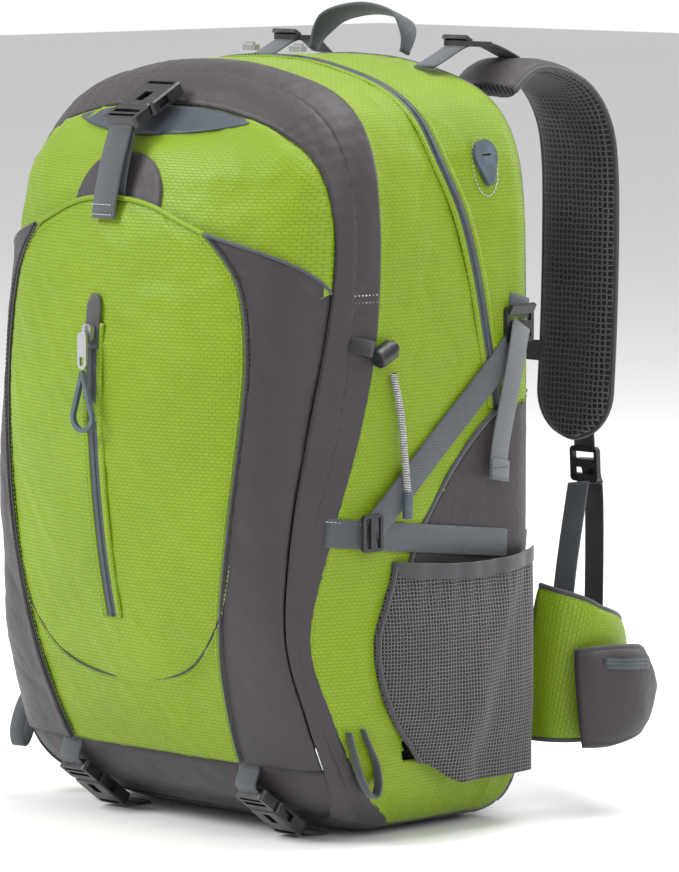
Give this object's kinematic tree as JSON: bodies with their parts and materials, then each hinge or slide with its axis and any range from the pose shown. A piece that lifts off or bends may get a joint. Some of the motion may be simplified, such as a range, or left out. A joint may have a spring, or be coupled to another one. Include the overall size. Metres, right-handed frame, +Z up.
{
  "type": "hiking backpack",
  "caption": "Panel-loading hiking backpack with a stash pocket, zips, compression straps, stretch side pockets, a padded harness, hip belt and grab handle.",
  "frame": {"origin": "the base panel's flat underside, midway between the side walls", "axes": "+Z up, -Y the front (zip pocket) side, +Y the wearer's side, +X right as seen from the front"},
  "size_m": [0.3998, 0.4368, 0.5819],
  "materials": {
    "lime_ripstop": "satin",
    "charcoal_nylon": "satin",
    "air_mesh": "matte",
    "stretch_mesh": "matte",
    "webbing": "matte",
    "buckle_plastic": "satin",
    "zip_tape": "satin",
    "zip_metal": "satin",
    "grip_rubber": "matte",
    "elastic_cord": "matte",
    "frame_plastic": "matte"
  },
  "bodies": {
    "pack": {"anchor_wings": "charcoal_nylon", "back_pads": "air_mesh", "back_panel": "charcoal_nylon", "base_buckle_sockets": "buckle_plastic", "base_panel": "charcoal_nylon", "base_webbing": "webbing", "buckle_patch": "charcoal_nylon", "compression_locks": "buckle_plastic", "cord_anchors": "webbing", "cord_lock_barrels": "buckle_plastic", "cord_tabs": "buckle_plastic", "diagonal_straps": "webbing", "earphone_port": "grip_rubber", "frame_sheet": "frame_plastic", "front_buckle_socket": "buckle_plastic", "front_compartment": "charcoal_nylon", "front_pocket": "lime_ripstop", "front_zip_tape": "zip_tape", "load_lifter_locks": "buckle_plastic", "load_lifter_webbing": "webbing", "lower_compression_straps": "webbing", "main_compartment": "charcoal_nylon", "main_zip_tape": "zip_tape", "pocket_tongue": "charcoal_nylon", "pole_cords": "elastic_cord", "side_pocket_left": "stretch_mesh", "side_pocket_right": "stretch_mesh", "tool_loops": "webbing", "triglides": "buckle_plastic", "yoke": "charcoal_nylon"},
    "front_slider": {"front_zip_slider": "zip_metal"},
    "front_pull": {"front_zip_pull": "zip_metal", "front_zip_grip": "grip_rubber"},
    "front_plug": {"front_buckle_plug": "buckle_plastic", "front_strap": "webbing"},
    "crown_slider_right": {"main_zip_slider_right": "zip_metal"},
    "crown_slider_left": {"main_zip_slider_left": "zip_metal"},
    "cord_button_right": {"cord_lock_button_right": "buckle_plastic"},
    "cord_button_left": {"cord_lock_button_left": "buckle_plastic"},
    "base_plug_right": {"base_buckle_plug_right": "buckle_plastic"},
    "base_plug_left": {"base_buckle_plug_left": "buckle_plastic"},
    "harness_right": {"shoulder_strap_right": "air_mesh", "strap_lock_right": "buckle_plastic", "adjuster_webbing_right": "webbing"},
    "harness_left": {"shoulder_strap_left": "air_mesh", "strap_lock_left": "buckle_plastic", "adjuster_webbing_left": "webbing", "sternum_webbing_left": "webbing", "sternum_socket": "buckle_plastic"},
    "chest_plug": {"sternum_plug": "buckle_plastic", "sternum_webbing_right": "webbing"},
    "belt_right": {"hip_fin_right": "charcoal_nylon", "hip_pocket_right": "charcoal_nylon", "hip_webbing_right": "webbing", "hip_plug": "buckle_plastic"},
    "belt_left": {"hip_fin_left": "charcoal_nylon", "hip_pocket_left": "charcoal_nylon", "hip_webbing_left": "webbing", "hip_socket": "buckle_plastic"},
    "grab_handle": {"haul_handle": "webbing"}
  },
  "joints": [
    {"name": "front_zip", "type": "hinge", "parent": "pack", "child": "front_slider", "pos_m": [0, 0.708, 0.315], "axis": [1, 0, 0], "range_deg": [-0.9, 10.6]},
    {"name": "front_pull_swing", "type": "hinge", "parent": "front_slider", "child": "front_pull", "pos_m": [0, -0.1804, 0.357], "axis": [1, 0, 0], "range_deg": [-150, 0]},
    {"name": "front_buckle_release", "type": "slide", "parent": "pack", "child": "front_plug", "axis": [0, -0.88, -0.475], "range_m": [0, 0.028]},
    {"name": "crown_zip_right", "type": "hinge", "parent": "pack", "child": "crown_slider_right", "pos_m": [0, 0.005, 0.229], "axis": [0, 1, 0], "range_deg": [0, 10]},
    {"name": "crown_zip_left", "type": "hinge", "parent": "pack", "child": "crown_slider_left", "pos_m": [0, 0.005, 0.229], "axis": [0, -1, 0], "range_deg": [0, 10]},
    {"name": "cord_button_right_press", "type": "slide", "parent": "pack", "child": "cord_button_right", "axis": [0, -0.8984, -0.4392], "range_m": [0, 0.003], "stiffness_N_per_m": 150},
    {"name": "cord_button_left_press", "type": "slide", "parent": "pack", "child": "cord_button_left", "axis": [0, -0.8984, -0.4392], "range_m": [0, 0.003], "stiffness_N_per_m": 150},
    {"name": "base_buckle_right_release", "type": "slide", "parent": "pack", "child": "base_plug_right", "axis": [0, -0.8, 0.6], "range_m": [0, 0.022]},
    {"name": "base_buckle_left_release", "type": "slide", "parent": "pack", "child": "base_plug_left", "axis": [0, -0.8, 0.6], "range_m": [0, 0.022]},
    {"name": "strap_swing_right", "type": "hinge", "parent": "pack", "child": "harness_right", "pos_m": [0.1, 0.117, 0.53], "axis": [1, 0, 0], "range_deg": [0, 12]},
    {"name": "strap_swing_left", "type": "hinge", "parent": "pack", "child": "harness_left", "pos_m": [-0.1, 0.117, 0.53], "axis": [1, 0, 0], "range_deg": [0, 12]},
    {"name": "chest_buckle_release", "type": "slide", "parent": "harness_right", "child": "chest_plug", "axis": [1, 0, 0], "range_m": [0, 0.021]},
    {"name": "belt_open_right", "type": "hinge", "parent": "pack", "child": "belt_right", "pos_m": [0.128, 0.128, 0.1], "axis": [0, 0, -1], "range_deg": [0, 34]},
    {"name": "belt_open_left", "type": "hinge", "parent": "pack", "child": "belt_left", "pos_m": [-0.128, 0.128, 0.1], "axis": [0, 0, 1], "range_deg": [0, 34]},
    {"name": "grab_handle_swing", "type": "hinge", "parent": "pack", "child": "grab_handle", "pos_m": [0, 0.09, 0.548], "axis": [1, 0, 0], "range_deg": [-30, 70]}
  ],
  "couplings": [
    {"joint": "strap_swing_left", "follows": "strap_swing_right", "ratio": 1},
    {"joint": "belt_open_left", "follows": "belt_open_right", "ratio": 1}
  ]
}
